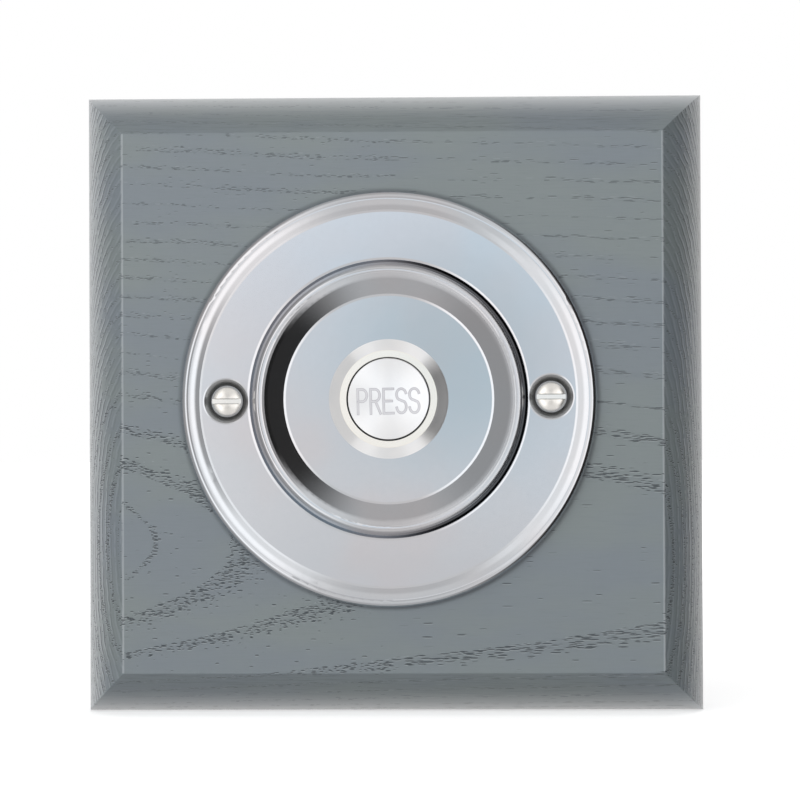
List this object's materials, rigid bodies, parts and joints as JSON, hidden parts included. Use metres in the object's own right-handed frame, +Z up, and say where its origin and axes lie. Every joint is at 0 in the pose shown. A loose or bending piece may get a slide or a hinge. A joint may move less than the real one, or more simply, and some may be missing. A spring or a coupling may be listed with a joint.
{
  "type": "wireless doorbell",
  "caption": "Square bevelled wooden plinth with a dished round metal rose and a central steel bell push, hiding a wireless transmitter.",
  "frame": {"origin": "middle of the plinth's back, on the wall's surface, which is also the centre of the two wall-fixing holes", "axes": "+Y into the wall, so the push faces -Y, +Z up, +X to the right of someone facing the bell"},
  "size_m": [0.116, 0.0346, 0.116],
  "materials": {
    "painted_wood": "satin blue-grey paint on open-pored hardwood",
    "chrome_plate": "polished chrome plate on cast brass",
    "nickel_plate": "polished nickel plate",
    "turned_steel": "finely turned stainless steel",
    "zinc_steel": "bright zinc plate",
    "spring_steel": "drawn wire",
    "cell_steel": "satin nickel-plated can",
    "contact_brass": "stamped brass",
    "copper_wire": "enamelled copper wire",
    "black_rubber": "moulded rubber",
    "black_plastic": "fine moulded texture",
    "white_nylon": "natural nylon",
    "board_laminate": "green solder mask on glass laminate",
    "red_insulation": "extruded insulation",
    "black_insulation": "extruded insulation"
  },
  "bodies": {
    "housing": {"plinth": "painted_wood", "rose": "chrome_plate", "rose_screw_left": "nickel_plate", "rose_screw_right": "nickel_plate", "switch_body": "turned_steel", "lock_washer": "zinc_steel", "lock_nut": "zinc_steel", "battery_clip": "zinc_steel", "resonator_can": "zinc_steel", "cover_screw_lower_left": "zinc_steel", "cover_screw_lower_right": "zinc_steel", "cover_screw_upper_left": "zinc_steel", "cover_screw_upper_right": "zinc_steel", "board_screw_lower_left": "zinc_steel", "board_screw_lower_right": "zinc_steel", "board_screw_upper_left": "zinc_steel", "board_screw_upper_right": "zinc_steel", "return_spring": "spring_steel", "battery_cell": "cell_steel", "terminal_upper": "contact_brass", "terminal_lower": "contact_brass", "antenna_coil": "copper_wire", "bezel_seal": "black_rubber", "push_seal": "black_rubber", "cover_gasket": "black_rubber", "contact_base": "black_plastic", "back_cover": "black_plastic", "battery_holder": "black_plastic", "encoder_chip": "black_plastic", "lead_header": "white_nylon", "lead_plug": "white_nylon", "circuit_board": "board_laminate", "lead_upper": "red_insulation", "lead_lower": "black_insulation"},
    "push": {"push_cap": "turned_steel", "plunger": "black_plastic", "moving_contact": "contact_brass"}
  },
  "joints": [
    {"name": "push_slide", "type": "slide", "parent": "housing", "child": "push", "axis": [0, 1, 0], "range_m": [0, 0.0016], "stiffness_N_per_m": 650, "springref_m": -0.0025, "deforming": ["return_spring"]}
  ]
}
